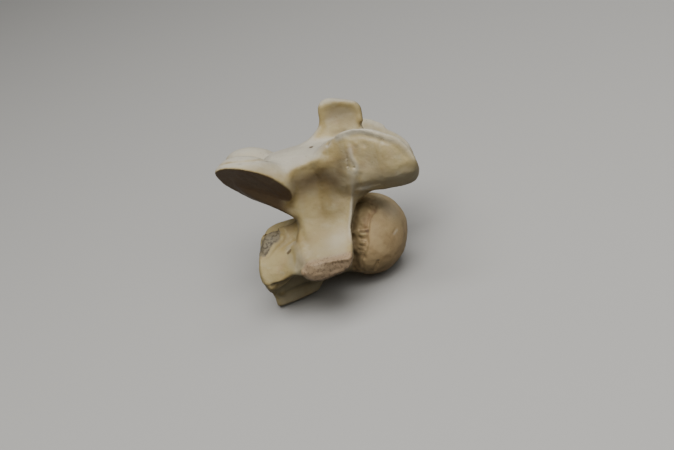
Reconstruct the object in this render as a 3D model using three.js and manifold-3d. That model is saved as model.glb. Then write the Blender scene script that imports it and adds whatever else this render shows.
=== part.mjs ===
// A neck vertebra of young adult domestic cattle, about the third or fourth from the skull, at life size.
//
// The bone is modelled whole, as one implicit solid: every named part is a distance function, negative
// inside, and rounded unions and cuts run them together as bone does. The solid is then turned into a closed
// mesh on a grid, parted with thin cuts where an anatomist names its parts, and laid down as it rests on a
// table: on the ventral crest, the ball of the head and the tip of the left transverse process.
//
// Bone frame, mm: x runs from the tail end to the skull end, y to the animal's left, z up its back,
// from a point in the middle of the centrum. Most parts are symmetric, and are written in side = |y|.

import * as THREE from "three";
import { mergeVertices } from "three/addons/utils/BufferGeometryUtils.js";
import Module from "manifold-3d";

// ---- Driving dimensions, mm and degrees -------------------------------------------------------------------

const HEAD = {
  centre: [29.6, 0, 0.2],
  tilt: 22, // the ball looks forwards and down
  front: 21.5, // from the growth line to the ball's crown
  back: 15.5, // from the growth line to the neck
  halfWidth: 24,
  halfHeight: 23.4,
  squareness: 2.15, // 2 is an ellipsoid
};

const CENTRUM = {
  stations: [ // [x, half width, top, bottom]
    [-37, 25.5, 15.2, -20],
    [-30, 25, 16.8, -19.5],
    [-20, 23, 19, -18.5],
    [-8, 19.5, 18.5, -17.5],
    [5, 17, 16, -17],
    [16, 17.5, 13, -18],
    [24, 18.5, 13, -19.5],
    [34, 18, 12, -19],
  ],
  squareness: 3.8,
  taper: { from: -10, over: 30, share: 0.0095 }, // the sides close in by this share for each mm up
  rim: { x: -34.2, z: -5, above: { depth: 5, rise: 20 }, below: { depth: 2, rise: 14 } },
  neck: 33, // where the ball takes over
};
const COTYLE = { centre: [-43.5, 0, -3], radii: [19, 21, 17.5] };
const TROUGH = { from: [-40, 11, -30], to: [-8, 20, -21], radii: [8, 12.5] };
const CREST = {
  bottom: [[-34, -27.5], [-30, -28.3], [-20, -27.6], [-8, -25.8], [-2, -20.5], [12, -17]],
  halfWidth: [[-34, 4.5], [-28, 4.2], [-10, 2.6], [0, 2.2]],
  footZ: -28,
  spread: 0.18, // how much wider it gets for each mm up
  caudalEnd: -31.5,
  cranialEnd: 8,
};

// Pedicle, side of the roof and transverse process, as one wall.
const PILLAR = {
  outer: [[-14, 45.5], [-9, 47.5], [-3.6, 48.6], [-1, 44.5], [8, 32], [20, 25.6], [29, 24.8], [38, 27],
    [46, 31], [52, 34], [58, 34]], // [z, outer face]
  skirt: [[-34, 21], [-26, 24], [-20, 27], [-14, 32], [-9, 40], [-5, 50], [0, 62]], // [x, outer face, low]
  caudal: [[-16, -34], [-2, -31], [4, -21], [9, -10], [18, -7.5], [28, -8], [38, -9], [46, -14], [53, -20],
    [58, -20]], // [z, x of the edge]
  cranial: [[-13, 15], [-8, 18.5], [0, 19.7], [8, 20.5], [18, 24], [28, 27], [38, 29.5], [46, 31], [53, 31.5],
    [58, 30]],
  inner: [[-12, 30], [-6, 14], [6, 8], [14, 8], [32, 8], [42, -8]],
  sole: [[-34, -21], [-30, -18], [-25, -13], [-18, -10.2], [-12, -9.6], [-8, -10.6], [0.6, -12.6],
    [9.9, -11.9], [17.6, -8.5], [20, -5]], // [x, underside]
  soleSlant: 0.05,
  skirtDraw: { from: -6, share: 0.45, released: 20, releaseShare: 1.5 }, // the skirt draws in as it rises
  tip: 48, // the transverse processes end here
};
const WAIST = { x: 8, z: 36, length: 10, height: 13, depth: 1.6 }; // the shallow dish in the pedicle's side
const ROOF = {
  height: 58.3,
  flatSide: 6,
  fall: [[-12, 0.0156], [4, 0.0145], [12, 0.01], [20, 0.004], [28, 0.002]], // [x, fall for each square mm]
  crownX: 2,
  arch: 0.003,
  notch: { above: 38, x: -23, side: 5, reach: 16 }, // the gap in the roof's tail-end edge
};
const SHOULDER = {
  edge: [[8, 18], [14, 21.5], [17.5, 24], [22.8, 29], [25.9, 35.4], [30, 40], [40, 40], [50, 37], [58, 33]],
  side: [12.5, 25],
  spread: { z: 26, x: 26, share: 0.3 },
  x: 12,
  z: [6, 48],
};
const LAMINA = {
  corner: [-8, 21.5],
  slope: [-0.643, -0.767],
  x: [-31.5, 0],
  top: 50,
  side: [14, 24],
  spread: { z: 30, share: 0.1 },
};

const CAUDAL_FACET = {
  centre: [-24.2, 29.5, 46.6],
  normal: [-0.38, 0.6, -0.7],
  along: [-1, 0, 0.66],
  radii: [22, 13.8, 14],
  thicker: 1.6, // bone on the facet below the plane of its centre
};
const CRANIAL_FACET = {
  centre: [43.6, 32, 44.4],
  normal: [0.37, -0.72, 0.59],
  along: [1, 0, -0.95],
  radii: [29, 23.5, 30],
  squareness: 2.5,
  steepness: 18, // mm for each time its size
};

// The plate that carries the cranial facet.
const WING = {
  top: [[10, 53.5], [20, 59], [26.5, 62.2], [31, 64.2], [35, 64.5], [40.3, 63.5], [46.9, 60.6], [53.1, 56.4],
    [58.5, 52.2], [61, 48.9], [63, 45.5], [64.5, 41.6], [65.6, 37], [66.2, 31]], // [x, z]
  bottom: [[22, 13.5], [24, 16.5], [29, 21.8], [35.4, 25], [45, 25], [54.1, 24.6], [58.8, 25.4], [62, 26.4],
    [66, 30]],
  outer: [[14, 23], [20, 27], [26, 34], [30, 40], [34, 44], [40, 45.8], [48, 45.6], [56, 44.6], [64, 43]],
  webSide: 32,
  webRise: 0.25, // towards the middle of the neck the underside rises
  flare: [[46, 0.4], [30, 0.45]], // towards the tail the outer face draws in, behind each x by each share
  thicker: 1.2, // bone on the facet above the plane of its centre
  root: 14,
};

const SPINE = {
  top: { x: 27, z: 80.3, slope: [0.36, 0.93] },
  back: { x: 17.6, z: 72, lean: 0.1 },
  ramp: { x: 3.5, z: 56.4, slope: [-0.62, 0.78] },
  front: { x: 41.3, z: 66, lean: -0.08 },
  root: 40,
  caudalEnd: -6,
  halfWidth: [[45, 8.5], [58, 4.8], [68, 3.6], [76, 4.6], [80, 4.4]],
};
const CANAL = { middle: [8, 29.3], halfWidth: 14, halfHeight: 15.2, straight: 14, flare: 3, flareOver: 16 };
const TRANSVERSE_CANAL = { side: 25.5, height: 0.5, radius: 3.6, middle: 6.5, halfLength: 16.5 };
const HOOK = { from: [-1, 45.2, -9.2], to: [-9.6, 45.4, -7.4], radii: [3, 1] }; // on the transverse process

// Widths over which each part runs into the ones before it.
const JOIN = { pillar: 6, trough: 1.2, crest: 4, cotyle: 1.5, shoulder: 5, lamina: 3, process: 6, spine: 5,
  canal: 2, transverseCanal: 1.5, head: 2.5, hook: 1.5 };
// A face that leans is nearer than a distance measured along one axis says, by about these shares.
const SQUARE_TO = { steepWall: 0.95, edge: 0.9, outerWall: 0.78, skirt: 0.7, wing: 0.75 };

const GRID = 4.12; // cell of the meshing grid
const BOX = { low: [-50, -13.5 * GRID, -33], high: [70, 13.5 * GRID, 85] };
const GAP = 0.3; // width of the cut between two named parts
const REST = { pitch: 3.5, roll: -17.5 }; // how the bone leans once it lies still
const BONE = { cortical: 0xd8ccb0, cartilage: 0xa98a63 };

// ---- Distance functions and how they join -----------------------------------------------------------------

const clamp = (t, low, high) => Math.min(Math.max(t, low), high);
const radians = (degrees) => (degrees * Math.PI) / 180;

// Union and intersection, rounded over a width k.
function blend(a, b, k) {
  const h = clamp(0.5 + (0.5 * (b - a)) / k, 0, 1);
  return b + (a - b) * h - k * h * (1 - h);
}
const keep = (a, b, k) => -blend(-a, -b, k);
const cut = (a, b, k) => keep(a, -b, k);

// A smooth curve through stations [t, value] that never swings past them.
function curve(stations) {
  const steps = stations.slice(1).map(([t, v], i) => (v - stations[i][1]) / (t - stations[i][0]));
  const slopes = stations.map((_, i) => {
    const before = steps[i - 1] ?? steps[0];
    const after = steps[i] ?? steps.at(-1);
    return before * after > 0 ? (2 * before * after) / (before + after) : 0;
  });
  slopes[0] = steps[0];
  slopes[slopes.length - 1] = steps.at(-1);
  return (at) => {
    const t = clamp(at, stations[0][0], stations.at(-1)[0]);
    const i = Math.max(stations.findLastIndex(([start], k) => start < t && k < steps.length), 0);
    const width = stations[i + 1][0] - stations[i][0];
    const u = (t - stations[i][0]) / width;
    return (1 + 2 * u) * (1 - u) ** 2 * stations[i][1] + u * (1 - u) ** 2 * width * slopes[i]
      + u * u * (3 - 2 * u) * stations[i + 1][1] + u * u * (u - 1) * width * slopes[i + 1];
  };
}
const column = (rows, k) => curve(rows.map((row) => [row[0], row[k]]));

function ellipsoid([u, v, w], [ru, rv, rw]) {
  const near = Math.hypot(u / ru, v / rv, w / rw) + 1e-9;
  const steep = Math.hypot(u / ru ** 2, v / rv ** 2, w / rw ** 2) + 1e-9;
  return (near * (near - 1)) / steep;
}

// A squarer ellipsoid: power 2 is round, and more is boxier.
function superellipsoid([u, v, w], [ru, rv, rw], power, steepness) {
  const sum = Math.abs(u / ru) ** power + Math.abs(v / rv) ** power + Math.abs(w / rw) ** power;
  return (sum ** (1 / power) - 1) * steepness;
}

// A rod with round ends that widens from one radius to the other.
function taperedRod(point, from, to, radii) {
  const axis = to.map((value, i) => value - from[i]);
  const reach = point.reduce((sum, value, i) => sum + (value - from[i]) * axis[i], 0);
  const t = clamp(reach / Math.hypot(...axis) ** 2, 0, 1);
  const away = point.map((value, i) => value - from[i] - axis[i] * t);
  return Math.hypot(...away) - (radii[0] + (radii[1] - radii[0]) * t);
}

// A point in a joint facet's own axes: u and v in its plane, w out of it.
function facetFrame({ centre, normal, along }) {
  const w = new THREE.Vector3(...normal).normalize();
  const u = new THREE.Vector3(...along);
  u.addScaledVector(w, -u.dot(w)).normalize();
  const v = new THREE.Vector3().crossVectors(w, u);
  const origin = new THREE.Vector3(...centre);
  return (x, side, z) => {
    const p = new THREE.Vector3(x, side, z).sub(origin);
    return [p.dot(u), p.dot(v), p.dot(w)];
  };
}

// ---- The parts of the bone --------------------------------------------------------------------------------

const centrumHalfWidth = column(CENTRUM.stations, 1);
const centrumTop = column(CENTRUM.stations, 2);
const centrumBottom = column(CENTRUM.stations, 3);

// The body of the bone: a waisted block, cut off at its tail end along a rim that bows forwards.
function centrum(x, side, z) {
  const { squareness, taper, rim, neck } = CENTRUM;
  const top = centrumTop(x);
  const bottom = centrumBottom(x);
  const halfHeight = (top - bottom) / 2;
  const halfWidth = centrumHalfWidth(x) * (1 - taper.share * clamp(z - taper.from, 0, taper.over));
  const across = Math.abs(side / halfWidth) ** squareness;
  const upright = Math.abs((z - (top + bottom) / 2) / halfHeight) ** squareness;
  const grown = (across + upright) ** (1 / squareness);
  const body = (grown - 1) * Math.min(halfWidth, halfHeight) * SQUARE_TO.edge;
  const rise = z - rim.z;
  const bow = rise > 0 ? rim.above : rim.below;
  const end = rim.x + bow.depth * (rise / bow.rise) ** 2;
  return keep(keep(body, (end - x) * SQUARE_TO.edge, 3), x - neck, 4);
}

const crestBottom = curve(CREST.bottom);
const crestHalfWidth = curve(CREST.halfWidth);

// The crest under the body, between the two troughs.
function crest(x, side, z) {
  const walls = keep(side - crestHalfWidth(x) - CREST.spread * (z - CREST.footZ), crestBottom(x) - z, 2);
  const ends = keep(CREST.caudalEnd - x, x - CREST.cranialEnd, 3);
  return keep(keep(walls, ends, 1.5), z, 3);
}

// The hollow at the tail end, which takes the ball of the next bone.
function cotyle(x, side, z) {
  const [cx, , cz] = COTYLE.centre;
  return ellipsoid([x - cx, side, z - cz], COTYLE.radii);
}

// The ball, which the hollow of the next bone towards the skull fits over.
function head(x, side, z) {
  const c = Math.cos(radians(HEAD.tilt));
  const s = Math.sin(radians(HEAD.tilt));
  const dx = x - HEAD.centre[0];
  const dz = z - HEAD.centre[2];
  const u = dx * c - dz * s;
  const radii = [u > 0 ? HEAD.front : HEAD.back, HEAD.halfWidth, HEAD.halfHeight];
  return superellipsoid([u, side, dx * s + dz * c], radii, HEAD.squareness, HEAD.front);
}

const pillarOuter = curve(PILLAR.outer);
const pillarSkirt = curve(PILLAR.skirt);
const pillarCaudal = curve(PILLAR.caudal);
const pillarCranial = curve(PILLAR.cranial);
const pillarInner = curve(PILLAR.inner);
const pillarSole = curve(PILLAR.sole);
const roofFall = curve(ROOF.fall);

// Pedicle, roof of the arch and transverse process: one wall that flares outwards at its top and foot.
function pillar(x, side, z) {
  const dish = Math.exp(-(((x - WAIST.x) / WAIST.length) ** 2) - ((z - WAIST.z) / WAIST.height) ** 2);
  let wall = (side - pillarOuter(z) + WAIST.depth * dish) * SQUARE_TO.outerWall;
  const { from, share, released, releaseShare } = PILLAR.skirtDraw;
  const drawnIn = share * Math.max(z - from, 0) - releaseShare * Math.max(z - released, 0);
  wall = keep(wall, (side - pillarSkirt(x) + drawnIn) * SQUARE_TO.skirt, 6);
  wall = keep(wall, (caudalEdge(side, z) - x) * SQUARE_TO.edge, 5);
  wall = keep(wall, (x - pillarCranial(z)) * SQUARE_TO.steepWall, 2);
  wall = keep(wall, (pillarInner(z) - side) * SQUARE_TO.outerWall, 3);
  const fall = roofFall(x) * Math.max(side - ROOF.flatSide, 0) ** 2 + ROOF.arch * (x - ROOF.crownX) ** 2;
  wall = keep(wall, (z - ROOF.height + fall) * SQUARE_TO.steepWall, 10);
  const sole = pillarSole(x) + PILLAR.soleSlant * (PILLAR.tip - side);
  return keep(wall, (sole - z) * SQUARE_TO.steepWall, 2);
}

// The tail-end edge of the wall, set in at the middle of the roof.
function caudalEdge(side, z) {
  const { above, x, side: start, reach } = ROOF.notch;
  if (z <= above) return pillarCaudal(z);
  const outwards = clamp((side - start) / reach, 0, 1);
  return pillarCaudal(z) * outwards + x * (1 - outwards);
}

// The lamina's tail-end edge, from the caudal facet down to the notch for the nerve.
function lamina(x, side, z) {
  let web = (x - LAMINA.corner[0]) * LAMINA.slope[0] + (z - LAMINA.corner[1]) * LAMINA.slope[1];
  web = keep(web, z - LAMINA.top, 2);
  web = keep(web, LAMINA.x[0] - x, 5);
  web = keep(web, x - LAMINA.x[1], 2);
  web = keep(web, LAMINA.side[0] - side, 2);
  return keep(web, side - LAMINA.side[1] - LAMINA.spread.share * (z - LAMINA.spread.z), 3);
}

const shoulderEdge = curve(SHOULDER.edge);

// The pedicle's skull-end face, set in from the ridge down the side.
function shoulder(x, side, z) {
  const { spread } = SHOULDER;
  const outer = SHOULDER.side[1] + spread.share * (Math.max(z - spread.z, 0) - Math.max(x - spread.x, 0));
  let body = (x - shoulderEdge(z)) * SQUARE_TO.edge;
  body = keep(body, SHOULDER.x - x, 5);
  body = keep(body, SHOULDER.side[0] - side, 2);
  body = keep(body, side - outer, 4);
  body = keep(body, SHOULDER.z[0] - z, 3);
  return keep(body, z - SHOULDER.z[1], 5);
}

const onCaudalFacet = facetFrame(CAUDAL_FACET);
const onCranialFacet = facetFrame(CRANIAL_FACET);

function caudalProcess(x, side, z) {
  const at = onCaudalFacet(x, side, z);
  return keep(ellipsoid(at, CAUDAL_FACET.radii), at[2] - CAUDAL_FACET.thicker, 0.8);
}

const wingTop = curve(WING.top);
const wingBottom = curve(WING.bottom);
const wingOuter = curve(WING.outer);

// The wing: a plate with an arched upper rim, whose inner face is the joint facet.
function cranialProcess(x, side, z) {
  const at = onCranialFacet(x, side, z);
  const bottom = wingBottom(x) + WING.webRise * Math.max(WING.webSide - side, 0);
  const drawnIn = WING.flare.reduce((sum, [from, share]) => sum + share * Math.max(from - x, 0), 0);
  const outer = wingOuter(z) - drawnIn;
  let plate = keep(z - wingTop(x), bottom - z, 2.5) * SQUARE_TO.wing;
  plate = keep(plate, (side - outer) * SQUARE_TO.edge, 3);
  const { radii, squareness, steepness } = CRANIAL_FACET;
  plate = keep(plate, superellipsoid(at, radii, squareness, steepness), 2);
  plate = keep(plate, WING.root - x, 3);
  return keep(plate, at[2] - WING.thicker, 0.8);
}

const spineHalfWidth = curve(SPINE.halfWidth);

// The neural spine: a short thick blade that leans towards the skull, with a swollen tip.
function spine(x, side, z) {
  const { top, back, ramp, front } = SPINE;
  const crown = (x - top.x) * top.slope[0] + (z - top.z) * top.slope[1];
  const upright = back.x - x + (z - back.z) * back.lean;
  const rise = (x - ramp.x) * ramp.slope[0] + (z - ramp.z) * ramp.slope[1];
  let blade = keep(crown, blend(upright, rise, 3), 11);
  blade = keep(blade, x - front.x + (z - front.z) * front.lean, 5);
  blade = keep(blade, SPINE.root - z, 2);
  blade = keep(blade, SPINE.caudalEnd - x, 4);
  return keep(blade, side - spineHalfWidth(z), 3);
}

// The tunnel for the spinal cord, wider at both mouths.
function canal(x, side, z) {
  const { middle, halfWidth, halfHeight, straight, flare, flareOver } = CANAL;
  const past = Math.max(Math.abs(x - middle[0]) - straight, 0);
  const wider = flare * (1 - Math.exp(-((past / flareOver) ** 2)));
  const out = Math.hypot(side / (halfWidth + wider), (z - middle[1]) / (halfHeight + wider));
  return (out - 1) * halfWidth;
}

// The tunnel for the vertebral artery, through the root of each transverse process.
function transverseCanal(x, side, z) {
  const { side: middleSide, height, radius, middle, halfLength } = TRANSVERSE_CANAL;
  const bore = Math.hypot(side - middleSide, z - height) - radius;
  return keep(bore, Math.abs(x - middle) - halfLength, 1);
}

// Near the mirror plane, side is kept from turning sharply by this much.
const MIDLINE = 0.5;

function bone(x, y, z) {
  const side = Math.hypot(y, MIDLINE);
  let solid = blend(centrum(x, side, z), pillar(x, side, z), JOIN.pillar);
  solid = cut(solid, taperedRod([x, side, z], TROUGH.from, TROUGH.to, TROUGH.radii), JOIN.trough);
  solid = blend(solid, crest(x, side, z), JOIN.crest);
  solid = cut(solid, cotyle(x, side, z), JOIN.cotyle);
  solid = blend(solid, shoulder(x, side, z), JOIN.shoulder);
  solid = blend(solid, lamina(x, side, z), JOIN.lamina);
  solid = blend(solid, caudalProcess(x, side, z), JOIN.process);
  solid = blend(solid, cranialProcess(x, side, z), JOIN.process);
  solid = blend(solid, spine(x, side, z), JOIN.spine);
  solid = cut(solid, canal(x, side, z), JOIN.canal);
  solid = cut(solid, transverseCanal(x, side, z), JOIN.transverseCanal);
  solid = blend(solid, head(x, side, z), JOIN.head);
  return blend(solid, taperedRod([x, side, z], HOOK.from, HOOK.to, HOOK.radii), JOIN.hook);
}

// ---- From the implicit solid to a closed mesh -------------------------------------------------------------

// Surface nets: one vertex for each grid cell that the surface crosses, one quad for each crossed grid edge.
function meshOf(solid, { low, high }, cell) {
  const counts = low.map((value, i) => Math.round((high[i] - value) / cell) + 1);
  const [nx, ny, nz] = counts;
  const node = (i, j, k) => (k * ny + j) * nx + i;
  const place = (i, j, k) => [low[0] + i * cell, low[1] + j * cell, low[2] + k * cell];
  const values = new Float64Array(nx * ny * nz);
  for (let k = 0; k < nz; k++)
    for (let j = 0; j < ny; j++)
      for (let i = 0; i < nx; i++) values[node(i, j, k)] = solid(...place(i, j, k));
  openPinches(values, counts, node);

  const corners = [0, 1, 2, 3, 4, 5, 6, 7].map((bits) => [bits & 1, (bits >> 1) & 1, bits >> 2]);
  const apart = (a, b) => Math.hypot(a[0] - b[0], a[1] - b[1], a[2] - b[2]);
  const edges = corners.flatMap((a, i) =>
    corners.slice(i + 1).filter((b) => apart(a, b) === 1).map((b) => [a, b]));
  const positions = [];
  const vertexOf = new Map();
  for (let k = 0; k < nz - 1; k++)
    for (let j = 0; j < ny - 1; j++)
      for (let i = 0; i < nx - 1; i++) {
        const crossings = [];
        for (const [a, b] of edges) {
          const va = values[node(i + a[0], j + a[1], k + a[2])];
          const vb = values[node(i + b[0], j + b[1], k + b[2])];
          if (va < 0 === vb < 0) continue;
          const t = va / (va - vb);
          crossings.push([0, 1, 2].map((d) => a[d] + (b[d] - a[d]) * t));
        }
        if (!crossings.length) continue;
        const mean = [0, 1, 2].map((d) => crossings.reduce((sum, c) => sum + c[d], 0) / crossings.length);
        const corner = place(i, j, k);
        vertexOf.set(node(i, j, k), positions.length / 3);
        positions.push(...settle(solid, mean.map((m, d) => corner[d] + m * cell), corner, cell));
      }

  const indices = [];
  const steps = [[1, 0, 0], [0, 1, 0], [0, 0, 1]];
  for (let k = 1; k < nz - 1; k++)
    for (let j = 1; j < ny - 1; j++)
      for (let i = 1; i < nx - 1; i++)
        steps.forEach((step, d) => {
          const inside = values[node(i, j, k)] < 0;
          if (inside === values[node(i + step[0], j + step[1], k + step[2])] < 0) return;
          const u = steps[(d + 1) % 3];
          const v = steps[(d + 2) % 3];
          const ring = [[0, 0], [1, 0], [1, 1], [0, 1]].map(([a, b]) =>
            vertexOf.get(node(i - a * u[0] - b * v[0], j - a * u[1] - b * v[1], k - a * u[2] - b * v[2])));
          if (!inside) ring.reverse();
          indices.push(...splitQuad(positions, ring));
        });
  return new THREE.BufferGeometry()
    .setAttribute("position", new THREE.Float32BufferAttribute(positions, 3))
    .setIndex(indices);
}

// Where only two opposite corners of a grid square are inside, two sheets of the mesh would share an edge.
// The corner nearest the surface changes sides there, until no such square is left.
const JUST_INSIDE = -0.02;

function openPinches(values, [nx, ny, nz], node) {
  const squares = [[[1, 0, 0], [0, 1, 0]], [[0, 1, 0], [0, 0, 1]], [[0, 0, 1], [1, 0, 0]]];
  let changed = true;
  while (changed) {
    changed = false;
    for (let k = 0; k < nz - 1; k++)
      for (let j = 0; j < ny - 1; j++)
        for (let i = 0; i < nx - 1; i++)
          for (const [u, v] of squares) {
            const ring = [[0, 0], [1, 0], [1, 1], [0, 1]].map(([a, b]) =>
              node(i + a * u[0] + b * v[0], j + a * u[1] + b * v[1], k + a * u[2] + b * v[2]));
            const [a, b, c, d] = ring.map((at) => values[at] < 0);
            if (a !== c || b !== d || a === b) continue;
            const outside = ring.filter((at) => values[at] >= 0);
            const nearest = values[outside[0]] < values[outside[1]] ? outside[0] : outside[1];
            values[nearest] = JUST_INSIDE;
            changed = true;
          }
  }
}

// Slides a vertex onto the surface along its slope, but not out of its own cell.
function settle(solid, start, corner, cell) {
  const margin = cell * 0.04;
  const eps = 0.05;
  let p = start;
  for (let pass = 0; pass < 3; pass++) {
    const value = solid(...p);
    const slope = [0, 1, 2].map((d) => {
      const q = [...p];
      q[d] += eps;
      return (solid(...q) - value) / eps;
    });
    const steepness = slope.reduce((sum, s) => sum + s * s, 0);
    if (steepness < 0.05) break;
    const next = p.map((x, d) => x - (value * slope[d]) / steepness);
    p = next.map((x, d) => clamp(x, corner[d] + margin, corner[d] + cell - margin));
  }
  return p;
}

// Two triangles, across the quad's shorter diagonal.
function splitQuad(positions, [a, b, c, d]) {
  const apart = (p, q) =>
    Math.hypot(...[0, 1, 2].map((axis) => positions[3 * p + axis] - positions[3 * q + axis]));
  return apart(a, c) < apart(b, d) ? [a, b, c, a, c, d] : [a, b, d, b, c, d];
}

// ---- Parting the bone into its named parts ----------------------------------------------------------------

const wasm = await Module();
wasm.setup();

function toSolid(geometry) {
  const bare = geometry.clone();
  bare.deleteAttribute("normal");
  bare.deleteAttribute("uv");
  const merged = mergeVertices(bare, 1e-4);
  const vertProperties = merged.attributes.position.array;
  const triVerts = new Uint32Array(merged.index.array);
  return new wasm.Manifold(new wasm.Mesh({ numProp: 3, vertProperties, triVerts }));
}

function toGeometry(solid) {
  const { vertProperties, triVerts } = solid.getMesh();
  const geometry = new THREE.BufferGeometry();
  geometry.setAttribute("position", new THREE.Float32BufferAttribute(vertProperties, 3));
  geometry.setIndex([...triVerts]);
  geometry.computeVertexNormals();
  return geometry;
}

// A box between two corners, turned about a pivot and grown by a margin on every side.
function block(low, high, margin, turn = {}) {
  const size = low.map((value, i) => high[i] - value + 2 * margin);
  const geometry = new THREE.BoxGeometry(...size);
  geometry.translate(...low.map((value, i) => (value + high[i]) / 2));
  const pivot = turn.pivot ?? [0, 0, 0];
  geometry.translate(...pivot.map((value) => -value));
  geometry.rotateY(radians(turn.y ?? 0));
  geometry.rotateZ(radians(turn.z ?? 0));
  geometry.translate(...pivot);
  return toSolid(geometry);
}

// Each region is a list of blocks: [low corner, high corner, turn].
const [hx, , hz] = HEAD.centre;
const sides = [["right", -1], ["left", 1]];
const mirrored = (sign, [x0, y0, z0], [x1, y1, z1]) =>
  sign > 0 ? [[x0, y0, z0], [x1, y1, z1]] : [[x0, -y1, z0], [x1, -y0, z1]];

const REGIONS = [
  ["head", [[[hx, -26, hz - 26], [hx + 30, 26, hz + 24.4], { y: HEAD.tilt, pivot: HEAD.centre }]]],
  ["neural_spine", [[[-4, -13, 60.4], [50, 13, 90]]]],
  ...sides.map(([name, sign]) => [`cranial_articular_process_${name}`,
    [[[33, sign * 27 - 40, 22.5], [90, sign * 27 + 40, 75], { z: sign * 36.9, pivot: [33, sign * 27, 0] }]]]),
  ...sides.map(([name, sign]) => [`caudal_articular_process_${name}`,
    [mirrored(sign, [-60, 10, 26], [-12, 60, 80])]]),
  ...sides.map(([name, sign]) => [`transverse_process_${name}`,
    [mirrored(sign, [-20, TRANSVERSE_CANAL.side, -30], [30, 60, 14])]]),
  ["ventral_crest", [[[-45, -9, -40], [6, 9, -19.6]]]],
  ["vertebral_arch", [[[-15, -60, 34], [60, 60, 80]], [[-30, -12, 34], [0, 12, 80]],
    ...sides.map(([, sign]) => mirrored(sign, [-15, 12, 16.5], [60, 60, 35]))]],
];

function regionSolid(blocks, margin) {
  return blocks.map(([low, high, turn]) => block(low, high, margin, turn)).reduce((all, one) => all.add(one));
}

const parts = {};
let remainder = toSolid(meshOf(bone, BOX, GRID));
for (const [name, blocks] of REGIONS) {
  parts[name] = remainder.intersect(regionSolid(blocks, 0));
  remainder = remainder.subtract(regionSolid(blocks, GAP));
}
parts.centrum = remainder;

// ---- Laid down at rest ------------------------------------------------------------------------------------

const vertebra = new THREE.Group();
for (const [name, solid] of Object.entries(parts)) {
  const colour = name === "head" ? BONE.cartilage : BONE.cortical;
  const material = new THREE.MeshStandardMaterial({ color: colour, roughness: 0.62, metalness: 0 });
  const mesh = new THREE.Mesh(toGeometry(solid), material);
  mesh.name = name;
  vertebra.add(mesh);
}
vertebra.rotation.set(radians(REST.roll), radians(REST.pitch), 0, "XYZ");
vertebra.updateMatrixWorld(true);
const reach = new THREE.Box3().setFromObject(vertebra, true);
const middle = reach.getCenter(new THREE.Vector3());
vertebra.position.set(-middle.x, -middle.y, -reach.min.z);

export default vertebra;
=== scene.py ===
# %% [markdown]
# # A neck vertebra of domestic cattle
# The bone is one of the middle neck bones, cleaned and dried, and lies on a pale table as it comes to rest.
# The measured model already says where each of its parts is. This script grows one unbroken skin of bone over
# those parts, gives it a finish, and lights it. We start by loading the measured parts and noting their box,
# because the finished bone has to fill the same space.

# %% Load the measured parts
import math

import bpy
import numpy as np
from mathutils import Matrix, Vector


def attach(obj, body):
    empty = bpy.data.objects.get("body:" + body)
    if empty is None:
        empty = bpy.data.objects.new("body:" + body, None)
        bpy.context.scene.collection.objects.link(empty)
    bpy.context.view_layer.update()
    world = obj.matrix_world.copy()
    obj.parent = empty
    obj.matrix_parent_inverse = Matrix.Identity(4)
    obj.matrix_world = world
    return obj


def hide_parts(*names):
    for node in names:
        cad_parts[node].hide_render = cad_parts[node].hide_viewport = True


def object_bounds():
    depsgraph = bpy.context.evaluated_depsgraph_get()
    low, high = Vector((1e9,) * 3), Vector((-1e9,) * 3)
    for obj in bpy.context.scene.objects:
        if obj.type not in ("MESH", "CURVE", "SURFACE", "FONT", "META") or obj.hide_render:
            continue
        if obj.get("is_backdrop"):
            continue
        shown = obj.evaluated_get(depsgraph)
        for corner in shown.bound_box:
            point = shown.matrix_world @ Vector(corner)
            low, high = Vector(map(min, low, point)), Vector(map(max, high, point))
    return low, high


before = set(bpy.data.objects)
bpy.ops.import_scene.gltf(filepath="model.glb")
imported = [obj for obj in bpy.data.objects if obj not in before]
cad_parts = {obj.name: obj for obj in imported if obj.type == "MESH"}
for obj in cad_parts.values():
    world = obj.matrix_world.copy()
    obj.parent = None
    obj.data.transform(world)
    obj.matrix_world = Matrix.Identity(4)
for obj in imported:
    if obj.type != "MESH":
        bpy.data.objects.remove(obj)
measured_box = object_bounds()
MM = 0.001  # shapes below are in millimetres, and Blender's are in metres
print("measured parts:", len(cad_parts))


# %% [markdown]
# ## How the bone lies
# A vertebra is easiest to describe in its own frame: x towards the skull, y to the animal's left and z up its
# back, from a point in the middle of the body of the bone. On the table it leans over onto its left side. One
# turn and one shift carry the bone's frame to the table's, and everything below uses them.

# %% Where the bone's own frame sits on the table
PITCH, ROLL = math.radians(3.5), math.radians(-17.5)
LEAN = Matrix.Rotation(ROLL, 3, "X") @ Matrix.Rotation(PITCH, 3, "Y")
SHIFT = Vector((-13.987, -4.994, 25.337))  # mm, so that the leaning bone touches the table
print("the bone leans", round(math.degrees(math.acos(LEAN[2][2])), 1), "degrees from upright")

# %% [markdown]
# ## The camera
# The view is from the right side of the animal, a little above, with a long lens from about eight hundred
# millimetres, as one photographs a small specimen. The camera is square to the bone and not to the table, so
# it is placed in the bone's frame and turned with it.

# %% Camera
def placed(name, data):
    """A new object in the scene."""
    thing = bpy.data.objects.new(name, data)
    bpy.context.scene.collection.objects.link(thing)
    return thing


FOCAL_PIXELS, IMAGE_WIDTH, SENSOR = 1400, 674, 36  # pixels, pixels, mm
DISTANCE = 805
VIEW = {"pitch": 14, "elevation": 8, "azimuth": 1.5, "right": 9.775, "up": 12.65}  # degrees, and mm


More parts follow.
